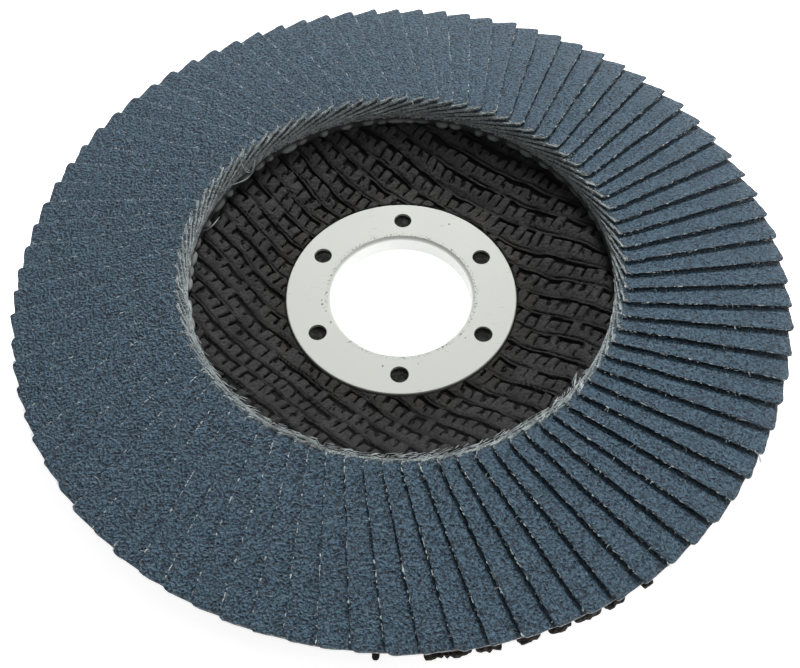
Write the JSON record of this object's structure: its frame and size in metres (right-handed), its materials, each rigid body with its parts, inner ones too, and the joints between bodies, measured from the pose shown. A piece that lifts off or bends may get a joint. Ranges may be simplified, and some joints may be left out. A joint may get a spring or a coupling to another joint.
{
  "type": "flap disc",
  "caption": "Depressed-centre abrasive flap disc with overlapping blue coated-cloth flaps bonded round a black woven resin plate with a steel bore ring.",
  "frame": {"origin": "centre of the hub's back face, on the spindle axis", "axes": "+Z along the spindle axis, out of the working face; X and Y across the disc"},
  "size_m": [0.1174, 0.1174, 0.0129],
  "materials": {
    "backing": "black resin over coarse glass mesh, semi-matt",
    "ring": "pale zinc-plated steel, lightly scuffed",
    "adhesive": "set grey epoxy",
    "abrasive_cloth": "blue-grey coated grain on cloth"
  },
  "bodies": {
    "root": {"backing_plate": "backing", "hub_ring": "ring", "adhesive_bed": "adhesive", "flaps_01": "abrasive_cloth", "flaps_02": "abrasive_cloth", "flaps_03": "abrasive_cloth", "flaps_04": "abrasive_cloth", "flaps_05": "abrasive_cloth", "flaps_06": "abrasive_cloth", "flaps_07": "abrasive_cloth", "flaps_08": "abrasive_cloth", "flaps_09": "abrasive_cloth", "flaps_10": "abrasive_cloth", "flaps_11": "abrasive_cloth", "flaps_12": "abrasive_cloth", "flaps_13": "abrasive_cloth", "flaps_14": "abrasive_cloth", "flaps_15": "abrasive_cloth", "flaps_16": "abrasive_cloth", "flaps_17": "abrasive_cloth"}
  },
  "joints": []
}
